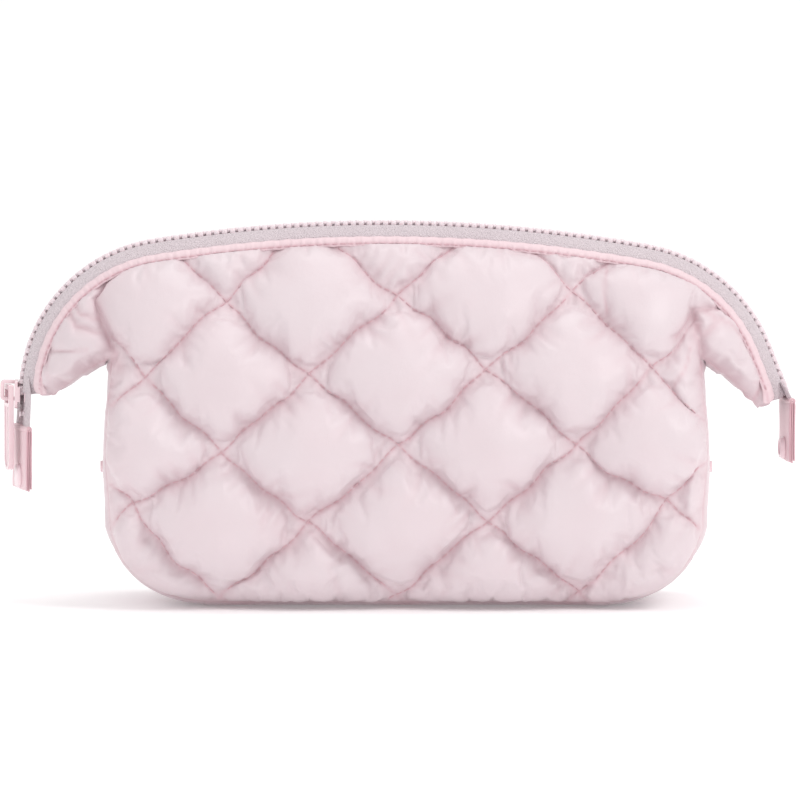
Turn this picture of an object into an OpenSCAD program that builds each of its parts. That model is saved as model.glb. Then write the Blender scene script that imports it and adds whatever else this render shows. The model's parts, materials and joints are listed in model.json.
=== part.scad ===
// Quilted makeup bag: a puffy half-moon pouch with a moulded zip over the top,
// two wings at the zip ends and a snap tab on each end of the zip tape.
// Front is -Y, right is +X, up is +Z; the bag stands on z = 0. Millimetres.

/* [Body] */
// Width of the body
body_w = 232; // [190:1:270]
// Greatest depth of the body, from front to back
body_d = 96; // [80:1:115]
// Height at which the body is deepest
bulge_h = 45; // [38:1:54]
// Radius of the two bottom corners, seen from the front
corner_r = 34; // [24:1:44]
// How far the body sits to the right of the middle of the whole bag
body_shift = 2; // [0:0.5:4]
// Height of the line above which the panels fold out as the mouth opens
fold_h = 75; // [68:1:80]

/* [Mouth] */
// Height of the top of the zip
crown_h = 146.7; // [136:0.1:160]
// Radius of the zip's long curve over the top
crown_r = 564; // [500:1:700]
// How far the highest point of that curve sits left of the middle
crown_lean = 6.4; // [0:0.1:10]
// How far the zip's left end stands out past the body's side
left_out = 33; // [29:0.5:38]
// How far the zip's right end stands out past the body's side
right_out = 32; // [28:0.5:37]
// Radius of the zip's left shoulder
left_r = 61; // [56:1:66]
// Radius of the zip's right shoulder
right_r = 62; // [56:1:66]
// Slope of the straight stretch below the right shoulder
right_slope = 68; // [62:1:74]
// Height of the line that the two lips of the mouth turn about
lip_h = 80; // [78:0.5:82]

/* [Fabric] */
// Thickness of the quilted panels, wadding included
quilt_t = 6; // [4:0.5:8]
// Thickness of the lining
lining_t = 0.5; // [0.4:0.1:1]
// How far the gusset stands proud of the panels' seams
seam_in = 3; // [2:0.5:4]
// How far the panels draw back at their side seams
side_round = 2.5; // [1.5:0.5:4]
// Width of the binding that shows along the mouth
binding_w = 3.4; // [2.8:0.1:4]
// Thickness of the binding
binding_t = 1.9; // [1.4:0.1:2.4]

/* [Zip] */
// Length of one tooth and its gap, along the zip
tooth_pitch = 3.1; // [2.8:0.1:3.5]
// Length of one tooth along the zip
tooth_l = 2.1; // [1.8:0.1:2.3]
// Thickness of a tooth, through the tape
tooth_t = 2.2; // [2:0.1:2.6]
// Reach of a tooth, from the middle of the zip over the tape
tooth_w = 3; // [2.6:0.1:3.4]
// Thickness of the zip tape
tape_t = 0.6; // [0.4:0.1:0.8]
// Half of the width of the flat zip tape at its ends
tape_half = 12; // [10:0.5:14]
// Length of the slider
slider_l = 11; // [10:0.5:13]
// Width of the slider
slider_w = 9.5; // [8.5:0.5:10.5]
// Length of the pull
pull_l = 33; // [26:1:38]
// Width of the pull
pull_w = 8.8; // [7:0.2:10]
// Thickness of the pull
pull_t = 1.9; // [1.5:0.1:2.4]
// How far the pull is turned towards the front as it hangs
pull_turn = 15; // [0:1:18]

/* [Tabs] */
// Width of a tab
tab_w = 25; // [21:1:28]
// Length of a tab
tab_l = 25; // [21:1:29]
// Thickness of a folded tab
tab_t = 2.4; // [1.8:0.1:3]
// Height of the top of the left tab
left_tab_h = 68; // [64:0.5:69]
// Height of the top of the right tab
right_tab_h = 79; // [76:0.5:80]
// How far the left tab is turned towards the front
left_tab_turn = 15; // [0:1:18]
// How far the right tab is turned towards the front
right_tab_turn = 7; // [0:1:10]
// Diameter of the snap fasteners
snap_d = 9.6; // [8:0.2:11]
// Height of the snap studs on the sides of the body
stud_h = 52; // [46:1:58]

/* [Hidden] */
$fn = 96;

gap = 0.15;                                // between soft layers that lie on each other
open_gap = 0.35;                           // between pieces that move past each other
lining_gap = 1.2;                          // between the quilted panels and their lining
pink = [0.93, 0.80, 0.82];
deep_pink = [0.88, 0.70, 0.73];
tape_pink = [0.84, 0.75, 0.78];
lining_pink = [0.90, 0.82, 0.83];
plastic_pink = [0.95, 0.83, 0.85];

// The zip's route: left shoulder arc, long crown arc, right shoulder arc, straight end.
side_x = body_w / 2;                       // the body's side, from its own middle
left_seam = body_shift - side_x;
right_seam = body_shift + side_x;
crown_x = -crown_lean;
crown_z = crown_h - crown_r;
left_x = left_seam - left_out + left_r;
left_turn = asin((crown_x - left_x) / (crown_r - left_r));
left_z = crown_z + (crown_r - left_r) * cos(left_turn);
right_end = 90 - right_slope;              // angle at which the right shoulder turns straight
right_low = 3;                             // the shoulder's centre lies this far below the lips' line
right_reach = right_r * cos(right_end) + (right_r * sin(right_end) - right_low) * tan(right_end);
right_x = right_seam + right_out - right_reach;
right_turn = asin((right_x - crown_x) / (crown_r - right_r));
right_z = crown_z + (crown_r - right_r) * cos(right_turn);
right_corner = [right_x + right_r * cos(right_end), right_z + right_r * sin(right_end)];
right_dir = [sin(right_end), -cos(right_end)];

// Places across the zip, as n inward from its outer edge and w out from its middle.
tape_n = (tooth_t - tape_t) / 2 + 0.2;     // the tape runs through the middle of the teeth
flat_w = slider_w / 2 + 0.65;              // the tape is flat as far as the slider reaches
binding_n = tooth_t + 3.2;                 // where the binding starts
edge_n = binding_n + binding_w + 0.6;      // the panels' top edge
edge_w = 12.7;                             // the panels' outer face at that edge
start_h = lip_h + 7;                       // the lips' teeth start this high
left_start = 180 - asin((start_h - left_z) / left_r);
left_rest = 180 - asin((lip_h - left_z) / left_r);
panel_foot = seam_in + 0.3;

// Side profile: two large arcs that meet above the zip; half depth at a height.
side_r = (pow(body_d / 2 - edge_w, 2) + pow(crown_h - edge_n - bulge_h, 2))
    / (2 * (body_d / 2 - edge_w));
function depth_at(h) = sqrt(pow(side_r, 2) - pow(h - bulge_h, 2)) - side_r + body_d / 2;

function mix(a, b, t) = a + (b - a) * t;
function ease(t) = let (c = max(0, min(1, t))) c * c * (3 - 2 * c);

// How far a point of the front view lies inside the zip's outer edge.
function inside(p) = let (
    lean = atan2(p[0] - crown_x, p[1] - crown_z),
    below = (p - right_corner) * right_dir)
    lean < -left_turn
        ? (p[1] > left_z ? left_r - norm(p - [left_x, left_z]) : p[0] - left_x + left_r)
    : below > 0 && p[0] > right_x
        ? (right_corner - p) * [right_dir[1] * -1, right_dir[0]]
    : lean > right_turn ? right_r - norm(p - [right_x, right_z])
    : crown_r - norm(p - [crown_x, crown_z]);

// Half depth of the bag's outer face at a point of the front view.
function half_depth(p) = let (
    side = abs(p[0] - body_shift) / side_x,
    rise = side > 1 ? 1 : ease((p[1] - fold_h) / 20),
    near_zip = depth_at(crown_h - min(inside(p), crown_h - bulge_h)),
    body = depth_at(p[1]) - side_round * pow(side, 4))
    mix(body, min(body, near_zip), rise);

// A point of the zip's route, by distance along it from the lips' turning line, moved in by n.
left_len = left_r * (left_rest - 90 - left_turn) * PI / 180;
crown_len = crown_r * (left_turn + right_turn) * PI / 180;
right_len = right_r * (90 - right_turn - right_end) * PI / 180;
straight_len = (right_corner[1] - lip_h) / cos(right_end);
route_len = left_len + crown_len + right_len + straight_len;
function polar(c, r, a) = c + r * [cos(a), sin(a)];
function route(s, n) =
    s < left_len ? polar([left_x, left_z], left_r - n, left_rest - s / left_r * 180 / PI)
    : s < left_len + crown_len
        ? polar([crown_x, crown_z], crown_r - n,
            90 + left_turn - (s - left_len) / crown_r * 180 / PI)
    : s < left_len + crown_len + right_len
        ? polar([right_x, right_z], right_r - n,
            90 - right_turn - (s - left_len - crown_len) / right_r * 180 / PI)
    : right_corner + right_dir * (s - left_len - crown_len - right_len)
        - n * [cos(right_end), sin(right_end)];
function route_angle(s) =
    s < left_len ? left_rest - s / left_r * 180 / PI
    : s < left_len + crown_len ? 90 + left_turn - (s - left_len) / crown_r * 180 / PI
    : s < left_len + crown_len + right_len
        ? 90 - right_turn - (s - left_len - crown_len) / right_r * 180 / PI
    : right_end;

// The body's outline in front view: side edge at a height, moved in by t.
function corner_in(h) = h < corner_r ? corner_r - sqrt(pow(corner_r, 2) - pow(corner_r - h, 2)) : 0;
function side_edge(h, t) = side_x + 2.4 * sin(min(180, h * 1.9)) - 2.4
    - t - max(0, corner_in(max(0, h - t)) - t * 0.2);

// Wings: the lower edge runs from the neck, at the top of the side seam, out to the tip.
neck_h = 95;
wing_len = 60;                             // length of zip that a wing takes
neck_len = 12;
neck_draw = 1;                             // how far the wing's seam starts inside the body's side
tip_n = edge_n + 3.6;
function wing_edge(side, t, neck_in) = let (
    neck = [body_shift + side * (side_x - neck_in), neck_h],
    tip = side < 0 ? route(0, tip_n) : route(route_len, tip_n))
    mix(neck, tip, t) + [0, 4.5 * sin(180 * min(1, t * 1.1)) * (1 - t)];

// Columns of a panel's grid: [top point, bottom point], from the left tip to the right tip.
wing_cols = 8;
side_cols = 4;
body_cols = 22;
function shift_x(x) = body_shift + x;
function side_path(side, t, foot, draw) = [shift_x(side * side_edge(mix(neck_h, foot, t), draw)),
    mix(neck_h, foot, t)];
function columns(foot, draw, neck_in) = let (
    last = wing_len + neck_len,
    span = route_len - 2 * last,
    foot_w = side_edge(foot, draw))
    concat(
        [for (i = [0 : wing_cols]) [route(wing_len * i / wing_cols, edge_n),
            wing_edge(-1, 1 - i / wing_cols, neck_in)]],
        [for (i = [1 : side_cols]) [route(wing_len + neck_len * i / side_cols, edge_n),
            side_path(-1, i / side_cols, foot, draw)]],
        [for (i = [1 : body_cols - 1]) [route(last + span * i / body_cols, edge_n),
            [shift_x(mix(-foot_w, foot_w, i / body_cols)), foot]]],
        [for (i = [side_cols : -1 : 1]) [route(route_len - wing_len - neck_len * i / side_cols,
            edge_n), side_path(1, i / side_cols, foot, draw)]],
        [for (i = [wing_cols : -1 : 0]) [route(route_len - wing_len * i / wing_cols, edge_n),
            wing_edge(1, 1 - i / wing_cols, neck_in)]]);

function upper_grid(foot, rows, draw, neck_in) = [for (c = columns(foot, draw, neck_in))
    [for (j = [0 : rows]) mix(c[1], c[0], j / rows)]];
function lower_grid(foot, head, rows, cols) = [for (i = [0 : cols]) [for (j = [0 : rows])
    let (h = mix(foot, head, pow(j / rows, 1.5)), w = side_edge(h, seam_in))
    [shift_x(mix(-w, w, i / cols)), h]]];

// A layer of the front between two depths below the outer face, over a front-view grid.
module layer(grid, deep_1, deep_2) {
    cols = len(grid);
    rows = len(grid[0]);
    all = [for (k = [0, 1]) for (c = grid) for (p = c)
        [p[0], min(-0.3, -half_depth(p) + (k == 0 ? deep_1 : deep_2)), p[1]]];
    function at(k, i, j) = (k * cols + i) * rows + j;
    function quad(a, b, c, d) = [[a, b, c], [a, c, d]];
    faces = concat(
        [for (i = [0 : cols - 2]) for (j = [0 : rows - 2]) each concat(
            quad(at(0, i, j), at(0, i, j + 1), at(0, i + 1, j + 1), at(0, i + 1, j)),
            quad(at(1, i, j), at(1, i + 1, j), at(1, i + 1, j + 1), at(1, i, j + 1)))],
        [for (i = [0 : cols - 2]) each concat(
            quad(at(0, i, 0), at(0, i + 1, 0), at(1, i + 1, 0), at(1, i, 0)),
            quad(at(0, i, rows - 1), at(1, i, rows - 1), at(1, i + 1, rows - 1),
                at(0, i + 1, rows - 1)))],
        [for (j = [0 : rows - 2]) each concat(
            quad(at(0, 0, j), at(1, 0, j), at(1, 0, j + 1), at(0, 0, j + 1)),
            quad(at(0, cols - 1, j), at(0, cols - 1, j + 1), at(1, cols - 1, j + 1),
                at(1, cols - 1, j)))]);
    polyhedron(all, faces);
}

module to_back() mirror([0, 1, 0]) children();

module panel_lower() layer(lower_grid(panel_foot, fold_h - gap, 9, 20), 0, quilt_t);
module panel_upper() layer(upper_grid(fold_h + gap, 6, seam_in, neck_draw), 0, quilt_t);
gusset_t = 4;                              // thickness of the gusset, wadding included
lining_side = gusset_t + 2 * gap + lining_t;   // the linings stop inside the gusset's own lining
module lining() layer(upper_grid(panel_foot + quilt_t, 9, lining_side, lining_side + neck_draw),
    quilt_t + lining_gap, quilt_t + lining_gap + lining_t);
module front_panel_lower() color(pink) panel_lower();
module front_panel_upper() color(pink) panel_upper();
module back_panel_lower() color(pink) to_back() panel_lower();
module back_panel_upper() color(pink) to_back() panel_upper();
module front_lining() color(lining_pink) lining();
module back_lining() color(lining_pink) to_back() lining();

// Gusset: one strip from the left neck, down the side, along the bottom and up the right side.
gusset_h = 90;
foot_press = 0.6;                          // the base, pressed flat, lies this far below its corners
neck_w = 21;                               // half width of the gusset's top, at the necks
module outline(t, top) {
    x = side_x - t;
    r = corner_r - t;
    translate([body_shift, 0]) {
        translate([-x, corner_r]) square([2 * x, top - corner_r]);
        translate([r - x, t]) square([2 * (x - r), corner_r]);
        for (s = [-1, 1]) translate([s * (x - r), corner_r + foot_press]) circle(r);
    }
}
module side_view(t) {
    intersection() {
        translate([side_r - body_d / 2, bulge_h]) circle(side_r - t);
        translate([body_d / 2 - side_r, bulge_h]) circle(side_r - t);
        translate([-body_d, -1]) square([2 * body_d, gusset_h + 2]);
    }
}
module across(w) translate([-w, 0, 0]) rotate([90, 0, 90]) linear_extrude(2 * w) children();
module gusset_ring(t1, t2, draw) intersection() {
    rotate([90, 0, 0]) linear_extrude(2 * body_d, center = true) difference() {
        outline(t1, gusset_h);
        outline(t2, gusset_h + 1);
    }
    across(body_w) intersection() {
        side_view(draw);
        polygon([[-body_d, -1], [body_d, -1], [body_d, fold_h], [neck_w, gusset_h + 1],
            [-neck_w, gusset_h + 1], [-body_d, fold_h]]);
    }
}
module wing_floor(side, t1, t2, w1, w2) {
    neck = [body_shift + side * (side_x - 2.2), gusset_h - 2.5];
    tip = side < 0 ? route(6, tip_n + 3) : route(route_len - 6, tip_n + 3);
    run = norm(tip - neck);
    translate([neck[0], 0, neck[1]])
        rotate([0, -atan2(tip[1] - neck[1], abs(tip[0] - neck[0])) * side, 0])
            translate([0, 0, -t2]) linear_extrude(t2 - t1)
                polygon([[0, -w1], [side * run, -w2], [side * run, w2], [0, w1]]);
}

// Snap fasteners: a cap and a socket on each tab, a stud and its post on each side of the body.
shank_r = 1.5;
bore_r = shank_r + gap;
module snap_disc(d, h) rotate_extrude() polygon([[0, 0], [d / 2, 0], [d / 2, h * 0.45],
    [d / 2 - h * 0.4, h * 0.85], [d / 2 - h, h], [0, h]]);
module snap_cap() {
    snap_disc(snap_d, 1.3);
    translate([0, 0, -tab_t - 1.2]) cylinder(r = shank_r, h = tab_t + 1.3);
}
module snap_socket() difference() {
    rotate_extrude() polygon([[bore_r, 0], [snap_d / 2 - 0.4, 0], [snap_d / 2 - 0.4, 0.6],
        [snap_d / 2 - 1.2, 1.9], [bore_r + 1.1, 1.9], [bore_r + 0.9, 1.3], [bore_r, 1.3]]);
}
module side_stud() difference() {
    union() {
        snap_disc(snap_d, 0.7);
        cylinder(r = 2.2, h = 1.6);
    }
    translate([0, 0, -1]) cylinder(r = bore_r, h = 2.1);
}
module stud_post() {
    translate([0, 0, -gusset_t - lining_t - 2 * gap - 0.9]) cylinder(d = snap_d, h = 0.9);
    translate([0, 0, -gusset_t - lining_t - 2 * gap - 0.5]) cylinder(r = shank_r,
        h = gusset_t + lining_t + 2 * gap + 1.5);
}
// Turns a fastener drawn along +Z to face out of the left (-1) or right (+1) side of the body.
module on_side(side, out) translate([body_shift + side * (side_x + out), 0, stud_h])
    rotate([0, side * 90, 0]) children();

module gusset() color(pink) difference() {
    union() {
        gusset_ring(0, gusset_t, side_round + quilt_t + gap + 0.6);
        for (s = [-1, 1]) wing_floor(s, 0, gusset_t - 1, neck_w, 4);
    }
    for (s = [-1, 1]) on_side(s, 1) translate([0, 0, -gusset_t - 4])
        cylinder(r = bore_r, h = gusset_t + 6);
}
module gusset_lining() color(lining_pink) difference() {
    gusset_ring(gusset_t + gap, gusset_t + gap + lining_t, side_round + quilt_t + lining_t + 1.2);
    for (s = [-1, 1]) on_side(s, 1) translate([0, 0, -gusset_t - 4])
        cylinder(r = bore_r, h = gusset_t + 6);
}
module left_side_stud() color(plastic_pink) on_side(-1, gap / 2) side_stud();
module right_side_stud() color(plastic_pink) on_side(1, gap / 2) side_stud();
module left_stud_post() color(plastic_pink) on_side(-1, gap / 2) stud_post();
module right_stud_post() color(plastic_pink) on_side(1, gap / 2) stud_post();

// Carries a closed cross-section, points [n inward, w outward], along the zip's route.
module sweep(section, from, to, steps) {
    m = len(section);
    all = [for (k = [0 : steps]) let (at = mix(from, to, k / steps)) for (q = section)
        let (p = route(at, q[0])) [p[0], -q[1], p[1]]];
    sides = [for (k = [0 : steps - 1]) for (j = [0 : m - 1]) let (
        a = k * m + j, b = k * m + (j + 1) % m)
        each [[a, b, b + m], [a, b + m, a + m]]];
    ends = [[for (j = [m - 1 : -1 : 0]) j], [for (j = [0 : m - 1]) steps * m + j]];
    polyhedron(all, concat(sides, ends));
}
module at_route(s) let (p = route(s, 0)) translate([p[0], 0, p[1]])
    rotate([0, 180 - route_angle(s), 0]) children();
// Stands a front-to-back outline, drawn [w, along the zip], on the route as a flat piece.
module flat_piece(s, n, t) at_route(s) translate([n, 0, 0]) rotate([90, 0, 90])
    linear_extrude(t) children();
lips_from = left_r * (left_rest - left_start) * PI / 180;
lips_to = route_len - (start_h - lip_h) / cos(right_end);
corner_s = left_len + crown_len + right_len;

tape_in = tooth_w - 1.2;                   // the teeth grip the tape's edge
tape_end_n = edge_n - 0.8;
tape_drop = 4.6;
tape_slope = tape_drop / (tape_end_n - tape_n);
function tape_face(n) = flat_w + (n - tape_n) * tape_slope;
tape_section = [[tape_n, tape_in], [tape_n, flat_w], [tape_end_n, flat_w + tape_drop],
    [tape_end_n, flat_w + tape_drop - tape_t * 1.6], [tape_n + tape_t, flat_w - 0.3],
    [tape_n + tape_t, tape_in]];
binding_end = binding_n + binding_w;
binding_section = [[binding_n, tape_face(binding_n) + 0.1],
    [binding_n, tape_face(binding_n) + binding_t], [binding_n + 0.6, tape_face(binding_n) + binding_t + 0.7],
    [binding_end, tape_face(binding_end) + binding_t + 0.9],
    [binding_end, tape_face(binding_end) + 0.1]];
head_w = 0.45;                             // each tooth stops this far from the zip's middle
module tooth_section(ease) polygon([[0, head_w], [0, tooth_w - 0.4], [0.35, tooth_w],
    [tape_n - ease, tooth_w], [tape_n - ease, tape_in - 0.1],
    [tape_n + tape_t + ease, tape_in - 0.1], [tape_n + tape_t + ease, tooth_w],
    [tooth_t - 0.2, tooth_w], [tooth_t, tooth_w - 0.4], [tooth_t, head_w]]);
module teeth(from, to, shift, ease) {
    count = floor((to - from - tooth_l - shift) / tooth_pitch);
    for (i = [0 : count]) at_route(from + tooth_l / 2 + shift + i * tooth_pitch)
        linear_extrude(tooth_l, center = true) mirror([0, 1]) tooth_section(ease);
}

module lip_tape() color(tape_pink) sweep(tape_section, lips_from, lips_to, 60);
module lip_binding() color(deep_pink) sweep(binding_section, 1, route_len - 1, 60);
module lip_teeth(shift) color(tape_pink) teeth(lips_from, lips_to, shift, 0.08);
module front_binding() lip_binding();
module back_binding() to_back() lip_binding();
module front_tape() lip_tape();
module back_tape() to_back() lip_tape();
module front_teeth() lip_teeth(0.1);
module back_teeth() to_back() lip_teeth(0.1 + tooth_pitch / 2);

// Zip ends: flat tape that hangs down to the tabs, with the last teeth and the stops.
module both_sides() {
    children();
    to_back() children();
}
teeth_from = -1;                           // the left end's teeth start just inside the slider
end_tape_top = 0.8;                        // the wide tape ends here, below the lips
slider_foot = -slider_l / 2 - 0.9;
stop_l = 2;
turn_room = 1.2;                           // the end tapes keep this clear of the turning lips
left_end_len = lip_h - left_tab_h - 0.3;
module left_end_outline() difference() {
    union() {
        translate([-tape_half, -left_end_len]) square([2 * tape_half, left_end_len + end_tape_top]);
        translate([-tooth_w, 0]) square([2 * tooth_w, lips_from - turn_room]);
    }
    translate([-tape_in, slider_foot - stop_l - 1]) square([2 * tape_in, 3 * slider_l]);
}
module left_end_tape() color(tape_pink) flat_piece(0, tape_n, tape_t) left_end_outline();
module left_end_teeth() color(tape_pink) both_sides() teeth(teeth_from, lips_from - 0.2, 0, 0.3);
module top_stops() color(tape_pink) both_sides() at_route(0)
    translate([0, 0, slider_foot - stop_l - 0.2]) linear_extrude(stop_l) difference() {
        translate([0.2, tape_in - 1.2]) square([tooth_t - 0.2, 2.6]);
        translate([tape_n - 0.05, tape_in - 0.1]) square([tape_t + 0.1, 3]);
    }
right_end_top = route_len - 1.1;
right_end_foot = corner_s
    + (right_corner[1] - (tape_n + tape_t) * sin(right_end) - right_tab_h - open_gap) / cos(right_end);
module right_end_outline() difference() {
    union() {
        translate([-tape_half, right_end_top]) square([2 * tape_half, right_end_foot - right_end_top]);
        translate([-tooth_w, lips_to + turn_room])
            square([2 * tooth_w, right_end_top - lips_to - turn_room + 0.1]);
    }
    translate([-tape_in, lips_to - 1]) square([2 * tape_in, right_end_top - lips_to + 0.6]);
}
module right_end_tape() color(tape_pink) flat_piece(corner_s, tape_n, tape_t)
    translate([0, -corner_s]) right_end_outline();
module bottom_stop() color(tape_pink) at_route(lips_to + 0.8)
    linear_extrude(right_end_top - lips_to - 1.4) difference() {
        translate([0, -tooth_w]) square([tooth_t, 2 * tooth_w]);
        for (s = [-1, 1]) translate([tape_n - 0.05, s > 0 ? tape_in - 0.1 : -tape_in - 2.9])
            square([tape_t + 0.1, 3]);
    }

// Slider: two plates round the teeth, a web between the tapes and lips that guide the tape.
plate_t = 1.2;
plate_out = -open_gap;                     // inner face of the outer plate
plate_in = tooth_t + open_gap + 0.2;       // inner face of the inner plate
module plate_outline(r) {
    for (a = [-1, 1]) for (b = [-1, 1])
        translate([a * (slider_l / 2 - r), b * (slider_w / 2 - r)]) circle(r);
    square([slider_l - 2 * r, slider_w], center = true);
    square([slider_l, slider_w - 2 * r], center = true);
}
module plate(n) translate([n, 0, 0]) rotate([0, 90, 0]) linear_extrude(plate_t) plate_outline(2.4);
module slider_body() color(plastic_pink) at_route(0) {
    plate(plate_out - plate_t);
    plate(plate_in);
    for (s = [-1, 1]) for (n = [[plate_out - 0.2, tape_n - 0.4], [tape_n + tape_t + 0.6, plate_in + 0.2]])
        translate([n[0], s * (slider_w / 2 - 0.4) - 0.4, -slider_l / 2 + 2.6])
            cube([n[1] - n[0], 0.8, slider_l - 5.2]);
    translate([plate_out - 0.2, -0.14, slider_l / 2 - 4]) cube([plate_in - plate_out + 0.4, 0.28, 3]);
}
bridge_h = 5.6;
bridge_l = 8;
bridge_w = 2.6;
bridge_t = 1.4;
bridge_up = 1.4;                           // the bridge sits this far above the slider's middle
module slider_bridge() color(plastic_pink) at_route(0) translate([plate_out - plate_t, 0, bridge_up])
    rotate([90, 0, 0]) linear_extrude(bridge_w, center = true) difference() {
        union() {
            translate([-bridge_h + 1.6, -bridge_l / 2]) square([bridge_h - 1.6, bridge_l]);
            translate([-bridge_h, 1.6 - bridge_l / 2]) square([bridge_h, bridge_l - 3.2]);
            for (s = [-1, 1]) translate([1.6 - bridge_h, s * (bridge_l / 2 - 1.6)]) circle(1.6);
        }
        translate([-bridge_h + bridge_t, bridge_t - bridge_l / 2])
            square([bridge_h - bridge_t + 1, bridge_l - 2 * bridge_t]);
    }

// Pull: a slim oblong with a raised rim, which hangs by its top bar from the bridge.
bar_r = 0.95;
bar_n = plate_out - plate_t - bridge_h + bridge_t + bar_r * sqrt(2) + 0.1
    + bridge_w / 2 * tan(pull_turn);
bar_s = 2.5;
loop_l = 6.2;
cheek = 1.5;
module pull_outline(t) {
    r = pull_w / 2 - t;
    low = -pull_l + bar_r + pull_w / 2;
    translate([-r, low]) square([2 * r, bar_r - low - 1.2]);
    translate([1.2 - r, low]) square([2 * r - 2.4, bar_r - low]);
    for (s = [-1, 1]) translate([s * (r - 1.2), bar_r - 1.2]) circle(1.2);
    translate([0, low]) circle(r);
}
module pull_slab(t) rotate([90, 0, 90]) linear_extrude(t, center = true) children();
module zip_pull() color(plastic_pink) let (p = route(bar_s, bar_n)) translate([p[0], 0, p[1]])
    rotate([0, 0, pull_turn]) difference() {
        pull_slab(pull_t) pull_outline(0);
        translate([-pull_t, -pull_w / 2 + cheek, -loop_l]) cube([2 * pull_t, pull_w - 2 * cheek, loop_l - bar_r]);
        for (s = [-1, 1]) translate([s * (pull_t - 0.4), 0, 0]) intersection() {
            pull_slab(pull_t) pull_outline(1.3);
            translate([-pull_t, -pull_w, -pull_l]) cube([2 * pull_t, 2 * pull_w, pull_l - loop_l - 1.4]);
        }
    }

// Tabs: a strip of fabric folded over the end of the tape and held by a snap near its foot.
snap_drop = tab_l - 6.5;
left_hang = route(0, tape_n + tape_t / 2) - left_end_len * [sin(left_rest), -cos(left_rest)];
right_hang = route(right_end_foot, tape_n + tape_t / 2);
module at_tab(side) let (p = side < 0 ? [left_hang[0], left_tab_h] : [right_hang[0], right_tab_h])
    translate([p[0], 0, p[1] - tab_t / 2])
        rotate([0, 0, side < 0 ? left_tab_turn : right_tab_turn]) children();
module tab(side) color(pink) at_tab(side) difference() {
    union() {
        rotate([90, 0, 0]) cylinder(d = tab_t, h = tab_w, center = true);
        translate([-tab_t / 2, -tab_w / 2, -tab_l + tab_t / 2]) cube([tab_t, tab_w, tab_l - tab_t / 2]);
    }
    translate([0, 0, -snap_drop]) rotate([0, 90, 0]) cylinder(r = bore_r, h = 2 * tab_t, center = true);
}
module on_tab(side, face) at_tab(side) translate([face * tab_t / 2, 0, -snap_drop])
    rotate([0, face * 90, 0]) children();
module left_tab() tab(-1);
module right_tab() tab(1);
module left_snap_cap() color(plastic_pink) on_tab(-1, -1) snap_cap();
module right_snap_cap() color(plastic_pink) on_tab(1, 1) snap_cap();
module left_snap_socket() color(plastic_pink) on_tab(-1, 1) snap_socket();
module right_snap_socket() color(plastic_pink) on_tab(1, -1) snap_socket();

gusset();
front_panel_lower();
front_panel_upper();
back_panel_lower();
back_panel_upper();
front_lining();
back_lining();
gusset_lining();
front_binding();
back_binding();
front_tape();
back_tape();
front_teeth();
back_teeth();
left_end_tape();
right_end_tape();
left_end_teeth();
top_stops();
bottom_stop();
slider_body();
slider_bridge();
zip_pull();
left_tab();
right_tab();
left_snap_cap();
right_snap_cap();
left_snap_socket();
right_snap_socket();
left_side_stud();
right_side_stud();
left_stud_post();
right_stud_post();
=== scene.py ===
"""Quilted makeup bag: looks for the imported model. Metres, front is -Y, right is +X, up is +Z."""
import json
import math

import bpy
import numpy as np
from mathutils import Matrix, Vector
from mathutils.bvhtree import BVHTree


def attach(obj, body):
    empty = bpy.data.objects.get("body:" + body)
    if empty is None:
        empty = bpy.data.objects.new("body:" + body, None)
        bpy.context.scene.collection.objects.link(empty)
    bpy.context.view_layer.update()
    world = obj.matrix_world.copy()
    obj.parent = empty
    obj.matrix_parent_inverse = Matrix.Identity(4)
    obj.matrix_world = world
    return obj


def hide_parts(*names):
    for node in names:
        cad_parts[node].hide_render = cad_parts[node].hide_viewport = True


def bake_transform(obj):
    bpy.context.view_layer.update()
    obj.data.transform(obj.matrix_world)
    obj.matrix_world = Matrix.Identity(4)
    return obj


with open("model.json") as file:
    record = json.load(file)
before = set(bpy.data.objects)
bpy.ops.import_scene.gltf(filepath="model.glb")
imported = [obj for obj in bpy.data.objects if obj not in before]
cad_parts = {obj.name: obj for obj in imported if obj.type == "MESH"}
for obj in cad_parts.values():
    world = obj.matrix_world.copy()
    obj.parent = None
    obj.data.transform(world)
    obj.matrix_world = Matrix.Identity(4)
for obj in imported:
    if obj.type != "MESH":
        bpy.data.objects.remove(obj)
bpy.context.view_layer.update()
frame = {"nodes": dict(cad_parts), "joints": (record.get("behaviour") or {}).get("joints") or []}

# The table and the light. A pale seamless sweep, a large soft window on the right and above,
# a weaker fill on the left, and a long lens a little above the bag's middle.
floor_size = 6.0
sweep_start = 4.0
sweep_radius = 0.8


def surface(name, points, close_u=False, close_v=False):
    """Mesh object from a grid of points [u, v, xyz]; each cell of four neighbours is one face.

    A closed direction joins its last row to its first."""
    rows, cols = points.shape[:2]
    index = np.arange(rows * cols).reshape(rows, cols)
    if close_u:
        index = np.vstack([index, index[:1]])
    if close_v:
        index = np.hstack([index, index[:, :1]])
    a = index[:-1, :-1].ravel()
    b = index[1:, :-1].ravel()
    c = index[1:, 1:].ravel()
    d = index[:-1, 1:].ravel()
    return mesh_object(name, points.reshape(-1, 3), np.stack([a, b, c, d], axis=1))


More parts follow.
